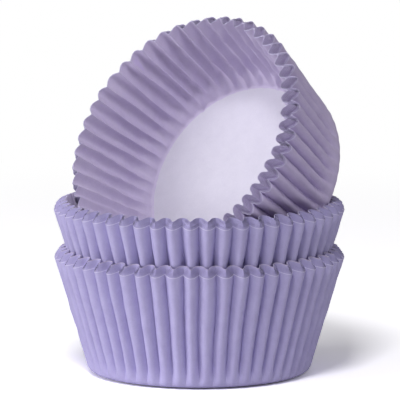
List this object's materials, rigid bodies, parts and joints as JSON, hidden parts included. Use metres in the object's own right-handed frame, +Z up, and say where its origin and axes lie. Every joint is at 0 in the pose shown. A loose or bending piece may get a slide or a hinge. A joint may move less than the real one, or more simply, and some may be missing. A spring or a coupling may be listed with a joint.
{
  "type": "stack of cupcake liners",
  "caption": "Stack of pleated paper cupcake liners: fluted cups nested in one another, with one nest tipped on its side in the mouth of the stack.",
  "frame": {"origin": "on the table under the middle of the lower nest", "axes": "+Z up, the axis of the two upright nests; -Y is the front, towards which and to the left the tipped nest opens"},
  "size_m": [0.066, 0.066, 0.0804],
  "materials": {
    "liner_paper": "matt"
  },
  "bodies": {
    "root": {"lower_nest": "liner_paper", "middle_nest": "liner_paper", "tipped_nest": "liner_paper"}
  },
  "joints": []
}
